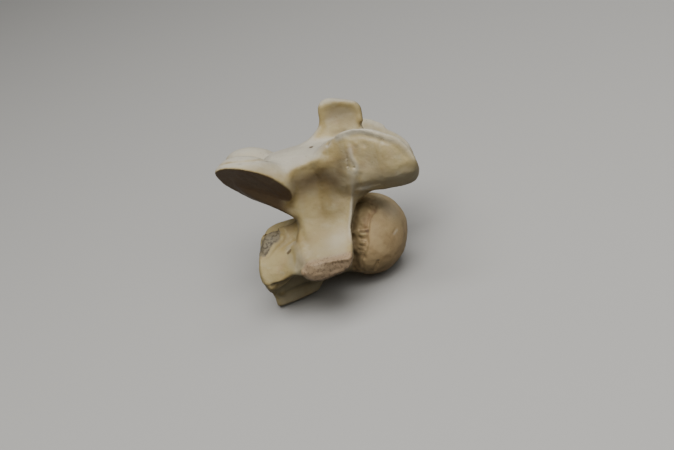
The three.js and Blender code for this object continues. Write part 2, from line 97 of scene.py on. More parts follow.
def view_axes():
    """Right, up and back of the camera, in the bone's frame."""
    azimuth, elevation = math.radians(VIEW["azimuth"]), math.radians(VIEW["elevation"])
    back = Vector((math.sin(azimuth) * math.cos(elevation), -math.cos(azimuth) * math.cos(elevation),
                   math.sin(elevation)))
    right = Vector((math.cos(azimuth), math.sin(azimuth), 0))
    tip = Matrix.Rotation(math.radians(VIEW["pitch"]), 3, "Y")
    return [tip @ axis for axis in (right, back.cross(right), back)]


RIGHT, UP, BACK = view_axes()
place = BACK * DISTANCE + RIGHT * VIEW["right"] + UP * VIEW["up"]
camera = placed("camera", bpy.data.cameras.new("camera"))
camera.data.sensor_width = SENSOR
camera.data.sensor_fit = "HORIZONTAL"
camera.data.lens = FOCAL_PIXELS / IMAGE_WIDTH * SENSOR
camera.data.clip_start = 0.05  # m
turn = Matrix([LEAN @ axis for axis in (RIGHT, UP, BACK)]).transposed()
camera.matrix_world = Matrix.Translation((LEAN @ place + SHIFT) * MM) @ turn.to_4x4()
bpy.context.scene.camera = camera
print("lens", round(camera.data.lens, 1), "mm, camera", round(camera.location.z, 3), "m above the table")

# %% [markdown]
# ## Shapes as distances
# Bone has no edges where one part ends and the next starts, so it is awkward to build from separate meshes. A
# distance function is a better clay: for any point it says how far the surface is, negative inside. Two of them
# run together with a rounded union, and a rounded cut takes one from the other. numpy works out all the points
# at once. Lengths here are in millimetres.

# %% Joining and cutting
def union(a, b, k):
    h = np.clip(0.5 + 0.5 * (b - a) / k, 0, 1)
    return b + (a - b) * h - k * h * (1 - h)


def keep(a, b, k):
    return -union(-a, -b, k)


def cut(a, b, k):
    return keep(a, -b, k)


print("a union of two faces 1 mm apart, rounded over 4 mm:", round(float(union(0.0, 1.0, 4.0)), 3))

# %% [markdown]
# A few plain forms are enough: a smooth curve through stations, an ellipsoid, a rod with round ends, and the
# flat frame of a joint facet, turned to any angle.

# %% Plain forms
TINY = 1e-9  # keeps a division or a root off zero


def curve(stations, t):
    """A smooth curve through (at, value) stations, which never swings past them."""
    at, value = np.array(stations, float).T
    width = np.diff(at)
    step = np.diff(value) / width
    slope = np.zeros_like(value)
    turns = step[:-1] * step[1:] > 0
    slope[1:-1][turns] = (2 * step[:-1] * step[1:])[turns] / (step[:-1] + step[1:])[turns]
    slope[0], slope[-1] = step[0], step[-1]
    t = np.clip(t, at[0], at[-1])
    i = np.clip(np.searchsorted(at, t) - 1, 0, len(width) - 1)
    u = (t - at[i]) / width[i]
    return ((1 + 2 * u) * (1 - u) ** 2 * value[i] + u * (1 - u) ** 2 * width[i] * slope[i]
            + u * u * (3 - 2 * u) * value[i + 1] + u * u * (u - 1) * width[i] * slope[i + 1])


def ellipsoid(u, v, w, radii):
    near = np.sqrt((u / radii[0]) ** 2 + (v / radii[1]) ** 2 + (w / radii[2]) ** 2) + TINY
    steep = np.sqrt((u / radii[0] ** 2) ** 2 + (v / radii[1] ** 2) ** 2 + (w / radii[2] ** 2) ** 2) + TINY
    return near * (near - 1) / steep


def superellipsoid(u, v, w, radii, power, steepness):
    """A squarer ellipsoid: power 2 is round, and more is boxier."""
    total = (np.abs(u / radii[0]) ** power + np.abs(v / radii[1]) ** power + np.abs(w / radii[2]) ** power)
    return ((total + TINY) ** (1 / power) - 1) * steepness


def rod(x, y, z, start, end, radii):
    """A rod with round ends that widens from one radius to the other."""
    axis = np.subtract(end, start)
    t = np.clip(((x - start[0]) * axis[0] + (y - start[1]) * axis[1] + (z - start[2]) * axis[2])
                / (axis @ axis), 0, 1)
    away = (x - start[0] - axis[0] * t) ** 2 + (y - start[1] - axis[1] * t) ** 2 + (z - start[2] - axis[2] * t) ** 2
    return np.sqrt(away) - (radii[0] + (radii[1] - radii[0]) * t)


def in_facet(facet, x, side, z):
    """Coordinates in a facet's plane (two) and out of it (one)."""
    w = Vector(facet["normal"]).normalized()
    u = Vector(facet["along"])
    u = (u - w * u.dot(w)).normalized()
    v = w.cross(u)
    dx, dy, dz = x - facet["centre"][0], side - facet["centre"][1], z - facet["centre"][2]
    return [axis[0] * dx + axis[1] * dy + axis[2] * dz for axis in (u, v, w)]


print("ellipsoid 20 mm long, seen 3 mm past its end:", round(float(ellipsoid(13.0, 0.0, 0.0, (10, 5, 5))), 2))

# %% [markdown]
# ## The body of the bone
# The centrum is a waisted block. Its skull end carries a ball, and its tail end has a hollow that takes the next
# ball. Two troughs run under it, with a crest between them where neck muscles held.

# %% Centrum and head
HEAD = {"centre": (29.6, 0, 0.2), "tilt": math.radians(22), "front": 21.5, "back": 15.5, "half_width": 24,
        "half_height": 23.4, "squareness": 2.15, "steepness": 20.5}
CENTRUM = {"half_width": ((-37, 25.5), (-30, 25), (-20, 23), (-8, 19.5), (5, 17), (16, 17.5), (24, 18.5), (34, 18)),
           "top": ((-37, 15.2), (-30, 16.8), (-20, 19), (-8, 18.5), (5, 16), (16, 13), (24, 13), (34, 12)),
           "bottom": ((-37, -20), (-30, -19.5), (-20, -18.5), (-8, -17.5), (5, -17), (16, -18), (24, -19.5),
                      (34, -19)),
           "squareness": 3.8,
           "taper": {"from": -10, "over": 30, "share": 0.0095},  # how much the sides close in for each mm up
           "rim": {"x": -34.2, "z": -5, "above": (5, 20), "below": (2.0, 14)},  # mm forwards, over mm up or down
           "neck": 33}
CREST = {"bottom": ((-34, -27.5), (-30, -28.3), (-20, -27.6), (-8, -25.8), (-2, -20.5), (12, -17)),
         "half_width": ((-34, 4.5), (-28, 4.2), (-10, 2.6), (0, 2.2)),
         "foot": -28, "spread": 0.18, "ends": (-31.5, 8)}
TROUGH = {"start": (-40, 11, -30), "end": (-8, 20, -21), "radii": (8, 12.5)}
SOCKET = {"centre": (-43.5, 0, -3), "radii": (19, 21, 17.5)}
# A face that leans is nearer than a distance along one axis says, by about these shares.
SQUARE_TO = {"steep_wall": 0.95, "edge": 0.9, "side_wall": 0.8, "outer_wall": 0.78, "wing": 0.75, "skirt": 0.7}


def crest(x, side, z):
    half_width = curve(CREST["half_width"], x)
    walls = keep(side - half_width - CREST["spread"] * (z - CREST["foot"]), curve(CREST["bottom"], x) - z, 2)
    ends = keep(CREST["ends"][0] - x, x - CREST["ends"][1], 3)
    return keep(keep(walls, ends, 1.5), z, 3)


def centrum(x, side, z):
    """A waisted block, cut off at its tail end along a rim that bows forwards."""
    taper, rim, power = CENTRUM["taper"], CENTRUM["rim"], CENTRUM["squareness"]
    top, bottom = curve(CENTRUM["top"], x), curve(CENTRUM["bottom"], x)
    half_height = (top - bottom) / 2
    narrower = taper["share"] * np.clip(z - taper["from"], 0, taper["over"])
    half_width = curve(CENTRUM["half_width"], x) * (1 - narrower)
    across = np.abs(side / half_width) ** power + np.abs((z - (top + bottom) / 2) / half_height) ** power
    body = ((across + TINY) ** (1 / power) - 1) * np.minimum(half_width, half_height) * SQUARE_TO["edge"]
    rise = z - rim["z"]
    bow = [depth * (rise / height) ** 2 for depth, height in (rim["above"], rim["below"])]
    end = rim["x"] + np.where(rise > 0, bow[0], bow[1])
    body = keep(body, (end - x) * SQUARE_TO["edge"], 3)
    return keep(body, x - CENTRUM["neck"], 4)


def trough(x, side, z):
    return rod(x, side, z, TROUGH["start"], TROUGH["end"], TROUGH["radii"])


def socket(x, side, z):
    centre = SOCKET["centre"]
    return ellipsoid(x - centre[0], side, z - centre[2], SOCKET["radii"])


def in_head(x, z):
    """How far a point is along the ball's tilted axis, and across it."""
    c, s = math.cos(HEAD["tilt"]), math.sin(HEAD["tilt"])
    dx, dz = x - HEAD["centre"][0], z - HEAD["centre"][2]
    return dx * c - dz * s, dx * s + dz * c


def head(x, side, z):
    u, w = in_head(x, z)
    radii = (np.where(u > 0, HEAD["front"], HEAD["back"]), HEAD["half_width"], HEAD["half_height"])
    return superellipsoid(u, side, w, radii, HEAD["squareness"], HEAD["steepness"])


print("the ball is", 2 * HEAD["half_width"], "mm wide")

# %% [markdown]
# ## The arch and its processes
# The pedicles rise from the body, flare into the roof over the spinal cord, and run down into the transverse
# processes, where a canal for an artery goes through the root. Four joint processes carry the facets that lock
# one bone to the next, and a short spine stands on the roof. Each outline is a list of stations: one coordinate,
# and where the face is there.

# %% Outlines of the pedicles, the roof and the transverse processes
PILLAR = {"outer": ((-14, 45.5), (-9, 47.5), (-3.6, 48.6), (-1, 44.5), (8, 32), (20, 25.6), (29, 24.8), (38, 27),
                    (46, 31), (52, 34), (58, 34)),
          "skirt": ((-34, 21), (-26, 24), (-20, 27), (-14, 32), (-9, 40), (-5, 50), (0, 62)),
          "caudal": ((-16, -34), (-2, -31), (4, -21), (9, -10), (18, -7.5), (28, -8), (38, -9), (46, -14),
                     (53, -20), (58, -20)),
          "cranial": ((-13, 15), (-8, 18.5), (0, 19.7), (8, 20.5), (18, 24), (28, 27), (38, 29.5), (46, 31),
                      (53, 31.5), (58, 30)),
          "inner": ((-12, 30), (-6, 14), (6, 8), (14, 8), (32, 8), (42, -8)),
          "sole": ((-34, -21), (-30, -18), (-25, -13), (-18, -10.2), (-12, -9.6), (-8, -10.6), (0.6, -12.6),
                   (9.9, -11.9), (17.6, -8.5), (20, -5)),
          "sole_slant": 0.05,
          "tip": 48,
          "skirt_draws_in": {"from": -6, "share": 0.45, "until": 20, "back": 1.5}}
WAIST = {"x": 8, "z": 36, "length": 10, "height": 13, "depth": 1.6}
ROOF = {"height": 58.3, "flat_side": 6, "crown": 2, "arch": 0.003,
        "fall": ((-12, 0.0156), (4, 0.0145), (12, 0.010), (20, 0.004), (28, 0.002)),
        "notch": {"above": 38, "x": -23, "side": 5, "reach": 16}}
SHOULDER = {"edge": ((8, 18), (14, 21.5), (17.5, 24), (22.8, 29), (25.9, 35.4), (30, 40), (40, 40), (50, 37),
                     (58, 33)),
            "x": 12, "side": (12.5, 25), "z": (6, 48), "spread": {"from": 26, "share": 0.3}}
LAMINA = {"web": ((-8, 21.5), (-0.643, -0.767)), "x": (-31.5, 0), "top": 50, "side": (14, 24),
          "spread": {"from": 30, "share": 0.1}}
print("the transverse processes span", 2 * max(outer for z, outer in PILLAR["outer"][:5]), "mm")


# %% Pedicles, roof and transverse processes
def face(x, z, through, slope):
    """A flat face straight across the bone, through a point (x, z) and with a slope along each of the two."""
    return (x - through[0]) * slope[0] + (z - through[1]) * slope[1]


def caudal_edge(side, z):
    """The wall's tail-end edge, set in at the middle of the roof."""
    edge, notch = curve(PILLAR["caudal"], z), ROOF["notch"]
    outwards = np.clip((side - notch["side"]) / notch["reach"], 0, 1)
    return np.where(z > notch["above"], edge * outwards + notch["x"] * (1 - outwards), edge)


def pillar(x, side, z):
    """Pedicle, side of the roof and transverse process: one wall that flares at its top and its foot."""
    dish = WAIST["depth"] * np.exp(-((x - WAIST["x"]) / WAIST["length"]) ** 2)
    dish = dish * np.exp(-((z - WAIST["z"]) / WAIST["height"]) ** 2)
    wall = (side - curve(PILLAR["outer"], z) + dish) * SQUARE_TO["outer_wall"]
    draw = PILLAR["skirt_draws_in"]
    drawn_in = draw["share"] * np.maximum(z - draw["from"], 0) - draw["back"] * np.maximum(z - draw["until"], 0)
    wall = keep(wall, (side - curve(PILLAR["skirt"], x) + drawn_in) * SQUARE_TO["skirt"], 6)
    wall = keep(wall, (caudal_edge(side, z) - x) * SQUARE_TO["edge"], 5)
    wall = keep(wall, (x - curve(PILLAR["cranial"], z)) * SQUARE_TO["steep_wall"], 2)
    wall = keep(wall, (curve(PILLAR["inner"], z) - side) * SQUARE_TO["side_wall"], 3)
    roof = ROOF["height"] - curve(ROOF["fall"], x) * np.maximum(side - ROOF["flat_side"], 0) ** 2
    roof = roof - ROOF["arch"] * (x - ROOF["crown"]) ** 2
    wall = keep(wall, (z - roof) * SQUARE_TO["steep_wall"], 10)
    sole = curve(PILLAR["sole"], x) + PILLAR["sole_slant"] * (PILLAR["tip"] - side)
    return keep(wall, (sole - z) * SQUARE_TO["steep_wall"], 2)


def lamina(x, side, z):
    """The roof's tail-end edge, from the caudal facet down to the notch for the nerve."""
    spread = LAMINA["spread"]
    web = keep(face(x, z, *LAMINA["web"]), z - LAMINA["top"], 2)
    web = keep(web, LAMINA["x"][0] - x, 5)
    web = keep(web, x - LAMINA["x"][1], 2)
    web = keep(web, LAMINA["side"][0] - side, 2)
    return keep(web, side - LAMINA["side"][1] - spread["share"] * (z - spread["from"]), 3)


def shoulder(x, side, z):
    """The pedicle's face towards the skull, set in from the ridge down its side."""
    start, share = SHOULDER["spread"]["from"], SHOULDER["spread"]["share"]
    body = keep((x - curve(SHOULDER["edge"], z)) * SQUARE_TO["edge"], SHOULDER["x"] - x, 5)
    body = keep(body, SHOULDER["side"][0] - side, 2)
    spread = side - SHOULDER["side"][1] - share * np.maximum(z - start, 0) + share * np.maximum(x - start, 0)
    body = keep(body, spread, 4)
    return keep(keep(body, SHOULDER["z"][0] - z, 3), z - SHOULDER["z"][1], 5)


print("20 mm out and 50 mm up, the wall is", round(-float(pillar(0.0, 20.0, 50.0)), 1), "mm under its surface")

# %% Outlines of the joint processes
CAUDAL_FACET = {"centre": (-24.2, 29.5, 46.6), "normal": (-0.38, 0.6, -0.7), "along": (-1, 0, 0.66),
                "radii": (22, 13.8, 14), "thicker": 1.6}
CRANIAL_FACET = {"centre": (43.6, 32, 44.4), "normal": (0.37, -0.72, 0.59), "along": (1, 0, -0.95),
                 "radii": (29, 23.5, 30), "squareness": 2.5, "steepness": 18}
WING = {"top": ((10, 53.5), (20, 60), (23, 62.2), (26.5, 63.8), (31, 64.8), (35, 64.6), (40.3, 63.2), (46.9, 60.4),
                (53.1, 56.4), (58.5, 52.2), (61, 48.9), (63, 45.5), (64.5, 41.6), (65.6, 37), (66.3, 31), (67, 24)),
        "bottom": ((22, 13.5), (24, 16.5), (29, 21.8), (35.4, 25), (45, 24), (54.1, 23.2), (58.8, 23.6), (62, 25),
                   (64.4, 28.4), (66.6, 35)),
        "outer": ((14, 23), (20, 27), (26, 34), (30, 40), (34, 44), (40, 45.8), (48, 45.6), (56, 44.6), (64, 43)),
        "web": {"side": 32, "rise": 0.25},  # towards the middle of the neck the underside rises
        "flare": ((46, 0.4), (30, 0.45)),  # behind each of these x the outer face draws in, by a share
        "root": 14, "thicker": 3.0}
LEFT_WING = {"middle": 38, "raised": 3, "over": 13, "falls": {"from": 50, "share": 0.24},
             "thicker": 3.6, "thins": {"over": 30, "share": 0.22}}
LEFT_CAUDAL_REACH = 1.2
print("the wings reach", WING["top"][-1][0], "mm towards the skull")


# %% Joint processes
def caudal_process(x, side, z):
    u, v, w = in_facet(CAUDAL_FACET, x, side, z)
    return keep(ellipsoid(u, v, w, CAUDAL_FACET["radii"]), w - CAUDAL_FACET["thicker"], 0.8)


def cranial_process(x, side, z, right):
    """The wing. No bone is quite even: the left one is higher in its middle, and lower and thinner at its tip."""
    facet, left = CRANIAL_FACET, LEFT_WING
    u, v, w = in_facet(facet, x, side, z)
    bottom = curve(WING["bottom"], x) + WING["web"]["rise"] * np.maximum(WING["web"]["side"] - side, 0)
    raised = left["raised"] * np.exp(-((x - left["middle"]) / left["over"]) ** 2)
    raised = raised - left["falls"]["share"] * np.maximum(x - left["falls"]["from"], 0)
    top = curve(WING["top"], x) + np.where(right, 0, raised)
    outer = curve(WING["outer"], z)
    for start, share in WING["flare"]:
        outer = outer - share * np.maximum(start - x, 0)
    plate = keep((bottom - z) * SQUARE_TO["wing"], (side - outer) * SQUARE_TO["side_wall"], 8)
    plate = keep(plate, (z - top) * SQUARE_TO["wing"], 2.5)
    plate = keep(plate, superellipsoid(u, v, w, facet["radii"], facet["squareness"], facet["steepness"]), 2)
    plate = keep(plate, WING["root"] - x, 3)
    thinner = left["thins"]["share"] * np.clip(x - left["middle"], 0, left["thins"]["over"])
    return keep(plate, w - np.where(right, WING["thicker"], left["thicker"] - thinner), 2.2)


middle = CRANIAL_FACET["centre"]
print("the right wing has", round(-float(cranial_process(*middle, True)), 1), "mm of bone over the facet's centre")

# %% Spine, canals and the whole bone
SPINE = {"top": ((27, 80.3), (0.36, 0.93)), "back": ((17.6, 72), (-0.985, 0.1)),  # faces: a point and a slope
         "ramp": ((3.5, 56.4), (-0.62, 0.78)), "front": ((41.3, 66), (0.99, -0.08)),
         "half_width": ((45, 8.5), (58, 4.8), (68, 3.6), (76, 4.6), (80, 4.4)), "root": 40, "tail": -6}
CORD_CANAL = {"middle": (8, 29.3), "half_width": 14, "half_height": 15.2, "straight": 14, "flare": 3,
              "flare_over": 16, "steepness": 13.5}
ARTERY_CANAL = {"side": 25.5, "z": 0.5, "radius": 3.6, "middle": 6.5, "half_length": 16.5}
KNOB = {"start": (-1, 43.8, -7.6), "end": (-8.2, 43.4, -6.6), "radii": (3.8, 2.1)}
MIDLINE = 0.5  # the two mirrored halves meet in a curve of this radius
# Widths over which each part runs into the ones before it.
JOIN = {"pillar": 6, "trough": 1.2, "crest": 4, "socket": 1.5, "shoulder": 5, "lamina": 3, "process": 6, "spine": 5,
        "cord_canal": 2, "artery_canal": 1.5, "head": 2.5, "knob": 4}


def spine(x, side, z):
    top, back, ramp, front = (face(x, z, *SPINE[name]) for name in ("top", "back", "ramp", "front"))
    blade = keep(keep(top, union(back, ramp, 3), 11), front, 5)
    blade = keep(keep(blade, SPINE["root"] - z, 2), SPINE["tail"] - x, 4)
    return keep(blade, side - curve(SPINE["half_width"], z), 3)


def cord_canal(x, side, z):
    """The canal for the spinal cord, which flares towards both mouths."""
    canal = CORD_CANAL
    past = np.maximum(np.abs(x - canal["middle"][0]) - canal["straight"], 0)
    flare = canal["flare"] * (1 - np.exp(-(past / canal["flare_over"]) ** 2))
    across, upright = side / (canal["half_width"] + flare), (z - canal["middle"][1]) / (canal["half_height"] + flare)
    return (np.sqrt(across ** 2 + upright ** 2) - 1) * canal["steepness"]


def artery_canal(x, side, z):
    canal = ARTERY_CANAL
    bore = np.sqrt((side - canal["side"]) ** 2 + (z - canal["z"]) ** 2) - canal["radius"]
    return keep(bore, np.abs(x - canal["middle"]) - canal["half_length"], 1)


def plain_bone(x, y, z):
    """The whole bone with no wear or roughness."""
    side = np.sqrt(y * y + MIDLINE ** 2)
    solid = union(centrum(x, side, z), pillar(x, side, z), JOIN["pillar"])
    solid = cut(solid, trough(x, side, z), JOIN["trough"])
    solid = union(solid, crest(x, side, z), JOIN["crest"])
    solid = cut(solid, socket(x, side, z), JOIN["socket"])
    solid = union(solid, shoulder(x, side, z), JOIN["shoulder"])
    solid = union(solid, lamina(x, side, z), JOIN["lamina"])
    solid = union(solid, caudal_process(x + np.where(y < 0, 0, LEFT_CAUDAL_REACH), side, z), JOIN["process"])
    solid = union(solid, cranial_process(x, side, z, y < 0), JOIN["process"])
    solid = union(solid, spine(x, side, z), JOIN["spine"])
    solid = cut(solid, cord_canal(x, side, z), JOIN["cord_canal"])
    solid = cut(solid, artery_canal(x, side, z), JOIN["artery_canal"])
    solid = union(solid, head(x, side, z), JOIN["head"])
    return union(solid, rod(x, side, z, KNOB["start"], KNOB["end"], KNOB["radii"]), JOIN["knob"])


print("depth of bone in the middle of the centrum:", round(float(-plain_bone(np.array(0.0), 0.0, 0.0)), 1), "mm")

# %% [markdown]
# ## Roughness
# Bone is never quite even. Smooth random noise of a few sizes is added to the distance, so that the surface swells
# and sinks by a few tenths of a millimetre.

# %% Smooth noise
SIZE = 32  # a power of two, so that the lattice repeats by masking
rng = np.random.default_rng(11)
LATTICE = rng.uniform(-1, 1, (SIZE, SIZE, SIZE))


def noise(x, y, z, size, offset=0.0):
    """Smooth noise from -1 to 1, with bumps about size mm apart."""
    whole, part = [], []
    for value in (x, y, z):
        value = value / size + offset
        floor = np.floor(value)
        t = value - floor
        whole.append(floor.astype(np.int64))
        part.append(t * t * (3 - 2 * t))
    total = 0
    for corner in np.ndindex(2, 2, 2):
        weight = math.prod(t if far else 1 - t for t, far in zip(part, corner))
        total = total + weight * LATTICE[tuple((at + far) & (SIZE - 1) for at, far in zip(whole, corner))]
    return total


probe = rng.uniform(-40, 40, (3, 2000))
print("noise runs from", noise(*probe, 6).min().round(2), "to", noise(*probe, 6).max().round(2))

# %% [markdown]
# ## Marks
# What makes one bone itself is a few dozen small marks: lips round the joint facets, the ridge down the side,
# holes for blood vessels, ledges at the growth line of the ball and a broken patch. Each is a stroke along a
# path with a width. A depth above zero sinks the surface and one below zero raises it. Most marks are mirrored.
# The tail end and the ball's neck differ from side to side, and the hollows in the near wing are left off the far
# one, whose thin rim they would pierce.

# %% Strokes along paths
FLANK = 0.45  # the marks lie on the flanks, so a distance along y counts for less
FADED = 2.4  # widths from the path, where almost nothing is left of a stroke


def stroke(x, y, z, width, path):
    """1 on the path, falling to 0 about two widths away. A path of one point makes a spot."""
    path, y = np.array(path, float) * (1, FLANK, 1), y * FLANK
    low, high = path.min(0) - FADED * width, path.max(0) + FADED * width
    near = np.flatnonzero((x > low[0]) & (x < high[0]) & (y > low[1]) & (y < high[1]) & (z > low[2]) & (z < high[2]))
    mask = np.zeros_like(x)
    if len(near) == 0:
        return mask
    away = np.full(len(near), np.inf)
    starts, ends = (path[:-1], path[1:]) if len(path) > 1 else (path, path)
    for start, end in zip(starts, ends):
        axis = end - start
        dx, dy, dz = x[near] - start[0], y[near] - start[1], z[near] - start[2]
        t = np.clip((dx * axis[0] + dy * axis[1] + dz * axis[2]) / max(axis @ axis, TINY), 0, 1)
        away = np.minimum(away, (dx - axis[0] * t) ** 2 + (dy - axis[1] * t) ** 2 + (dz - axis[2] * t) ** 2)
    mask[near] = np.exp(-away / width ** 2)
    return mask


off = np.array([0.0, 1, 2])
line = stroke(0 * off, 0 * off, off, 1, [(-5, 0, 0), (5, 0, 0)])
print("a stroke at its middle, 1 and 2 widths off:", line.round(2))

# %% Marks on both sides: depth, width and path, on the spine and the wings
BOTH = {
    "spine's thick rim": (-0.7, 1.8, [
        (21, 4, 77), (27, 4.5, 77.6), (32, 4.4, 76.8), (38, 4, 74), (40.5, 3.4, 70), (40.6, 3.4, 64)]),
    "dish in the spine's side": (0.9, 5.5, [(29, 5, 70.5), (34, 5, 70)]),
    "dent in the spine's front": (1.5, 1.8, [(40.6, 3, 61.6)]),
    "hollow beside the spine's foot": (0.8, 2.2, [(29.8, 4.4, 60), (24, 6, 59.6)]),
    "wing's lip": (-0.6, 1.4, [
        (26, 35.5, 61), (30, 37, 62), (34, 39, 62.6), (37.3, 41, 62.7), (40.4, 42, 62), (44.4, 43, 60),
        (49.2, 43, 57.2), (54.1, 43, 54.4), (59, 43, 51.6), (61, 43, 48.6), (63, 43, 45.2), (64.6, 42, 41)]),
    "crease where the wing starts": (0.6, 0.7, [(20, 31, 57), (21.5, 32, 59.4), (24.5, 34, 61.6), (28, 36, 62.8)]),
    "ridge on the wing": (-0.6, 1.4, [(31.8, 39.3, 53.8), (31.7, 39.8, 48.8), (33.3, 40.7, 44), (32, 40.2, 41)]),
    "knot on the ridge": (-0.5, 1.3, [(35.9, 40.8, 54.6)]),
    "lower knot": (-0.3, 1.2, [(32.6, 40, 46)]),
    "rough line behind the ridge": (0.25, 1.1, [
        (29, 38.4, 50.4), (28.9, 38.4, 48), (28.5, 38.1, 43.8), (31, 39.6, 41.6)]),
    "pit": (0.8, 0.6, [(28.9, 38.4, 48)]),
    "pit below": (0.8, 0.6, [(28.5, 38.1, 43.8)]),
    "pit in front": (0.8, 0.6, [(31.8, 40.1, 42.4)]),
    "faint pit": (1.0, 0.75, [(17.1, 32.9, 40.5)]),
    "faint pit below": (0.9, 0.7, [(17.5, 32.2, 37.5)]),
}
print(len(BOTH), "marks on both sides of the spine and the wings")

# %% More marks on both sides: the pedicles, the roof and the body
BOTH.update({
    "ridge down the pedicle": (-1.1, 1.2, [
        (30.3, 37.6, 41.2), (28.4, 34.7, 34), (25.9, 28.4, 25.3), (23.4, 27.4, 17.2), (20.9, 29.8, 10.7),
        (20.2, 35.5, 2.2), (18.4, 42, -4.6)]),
    "face in front of the ridge": (0.9, 1.8, [
        (34, 37.5, 38), (31.6, 34.5, 32.4), (28.6, 28.5, 24.6), (26, 27, 17), (23.6, 29, 10)]),
    "lip of the web": (-0.7, 1.1, [(29.4, 31.8, 29.2), (33.9, 33, 28.8), (37.9, 35, 29.2), (43, 37, 29.6)]),
    "underside of the lip": (0.8, 1.1, [(29.8, 31, 26), (34.3, 32.4, 26.4), (38, 34.6, 26.6)]),
    "hole for a vein": (2.2, 1.0, [(10.1, 13.6, 57.8)]),
    "line over the caudal facet": (0.7, 0.9, [
        (-40.4, 33.6, 60.2), (-34, 36, 60.4), (-28.4, 38, 59.8), (-22, 36.5, 58.6), (-16.9, 32.9, 57.6),
        (-10, 26, 57)]),
    "caudal facet's rim": (-0.6, 1.2, [
        (-42, 31.1, 57.8), (-38.6, 34.5, 58.6), (-31.8, 37.4, 57.5), (-24.9, 35.6, 52.2), (-18.4, 32.2, 45.7),
        (-12.5, 27, 36.8)]),
    "soft crest": (-0.9, 3.0, [
        (20.3, 33, 56.2), (12.7, 32.5, 52.5), (4.7, 31, 49.9), (-2.9, 29.4, 48), (-8, 28.5, 41)]),
    "hollow under the soft crest": (1.3, 7.0, [(7.3, 30, 44), (14, 31, 38)]),
    "shallow valley": (0.9, 2.4, [(-7.3, 23.8, 20), (-6.6, 25.6, 15.5), (-5.4, 30.4, 10.3), (-3.6, 37, 4)]),
    "swelling of the transverse process": (-0.6, 4.0, [(13, 36, 5), (4, 40, 0)]),
    "transverse process's lip": (-0.7, 1.1, [
        (-9.4, 39.5, -5.4), (-4.4, 46.4, -2.6), (1.3, 46.8, -2.2), (9.5, 48.2, -3), (16.5, 48.6, -4.1)]),
    "trough's lip": (-0.4, 1.2, [
        (-30.5, 21.4, -15.6), (-26.5, 23.2, -12), (-21.5, 26.8, -9.2), (-16.3, 29.4, -7.6), (-10.3, 37, -5.8)]),
    "centrum's rim": (-0.6, 1.4, [(-30.4, 23, -14), (-33, 23.4, -6), (-32.6, 23, 2)]),
    "nerve's groove": (0.6, 1.6, [(-16, 20, 14), (-13, 22, 9), (-12, 24, 4)]),
    "knob on the crest": (-0.9, 2.0, [(-27.3, 6.5, -21)]),
})
print(len(BOTH), "marks are on both sides")

# %% Marks on one side: the near wing, and the tail end of the body
ONE = {
    "shade under the lip": (0.6, 1.5, [
        (33, -39, 59.2), (37, -42, 59.2), (41, -43, 58.2), (45, -44, 56.2), (49.5, -44, 53.4)]),
    "groove inside the lip": (0.35, 1.2, [(49.5, -44, 53.4), (54, -44, 50.6), (57.6, -44, 46.6), (60, -44, 42)]),
    "dent in the wing": (0.5, 1.4, [(40, -42.7, 53.2)]),
    "hole in the patch": (1.3, 1.3, [(-17.9, -14.6, 15.8), (-17, -16, 14.6)]),
    "rim of the patch": (-0.4, 0.9, [
        (-15.4, -14, 15.4), (-18.2, -17.7, 10.2), (-22.4, -19.6, 8.2), (-27.7, -21.4, 3.8)]),
    "rib": (-0.25, 0.7, [(-12.6, -17, 17), (-13.6, -19.4, 11)]),
    "second rib": (-0.25, 0.7, [(-10, -16.6, 17), (-11, -18.6, 12)]),
    "slit for an artery": (1.8, 0.8, [(-16.3, -24.8, 4.5), (-14.5, -25.4, 5.6)]),
    "dish round the slit": (0.7, 3.4, [(-17, -24, 5)]),
}
print(len(ONE), "marks on the near wing and the tail end of the body")

# %% More marks on one side: the neck of the ball, and the far side
ONE.update({
    "ledge": (1.5, 0.8, [(25.8, -22.4, 6.3), (27.6, -23.1, 5.8), (29.6, -23.4, 5.9)]),
    "block under the ledge": (-0.8, 1.1, [(25.6, -22.9, 3.8), (28.2, -23.7, 3.4)]),
    "second ledge": (0.8, 0.6, [(24.9, -23, 1.4), (27.4, -23.9, 0.3)]),
    "second block": (-0.5, 0.9, [(24.6, -22.9, -0.5), (27, -23.8, -1.2)]),
    "third ledge": (0.8, 0.6, [(23.4, -22.6, -2.4), (25.8, -23.5, -3.3)]),
    "fourth ledge": (1.0, 0.6, [(22.6, -22, -4.9), (25, -23, -5.9)]),
    "growth line": (0.55, 0.7, [
        (34.3, -14.2, 19), (37.4, -15.3, 17.3), (36.6, -18.5, 14.4), (32.4, -21.5, 11.2), (30.9, -23.1, 7.2),
        (29.3, -23.8, 3.1), (28.2, -23.9, -1.3), (26.3, -23.4, -4.4)]),
    "dark hollow": (1.5, 1.6, [(20.1, -22.2, 3.3)]),
    "long hollow": (1.6, 2.2, [(19.4, -20.4, -8), (18, -17.7, -14)]),
    "pit at the growth line": (0.6, 1.2, [(37.2, -15.3, 17.6), (36.6, -17.2, 15.8)]),
    "crack": (1.4, 0.6, [(31.2, -20.2, -13.6), (30, -19, -15.6), (29, -17.4, -17.6), (28.2, -15.5, -19.4)]),
    "scratch": (0.3, 0.6, [(43.5, -19.3, 0), (45.6, -17.4, 1.6)]),
    "far ledge": (1.4, 1.0, [(24, 22.6, 9), (28, 23.4, 8)]),
    "far hollow": (1.6, 1.9, [(19, 20.6, -6)]),
    "far pit": (1.2, 1.6, [(36, 17, 14.6)]),
    "far slit": (2.2, 0.8, [(-16, 22.6, 2), (-14.4, 23.4, 2.6)]),
})
print(len(ONE), "marks are on one side only")

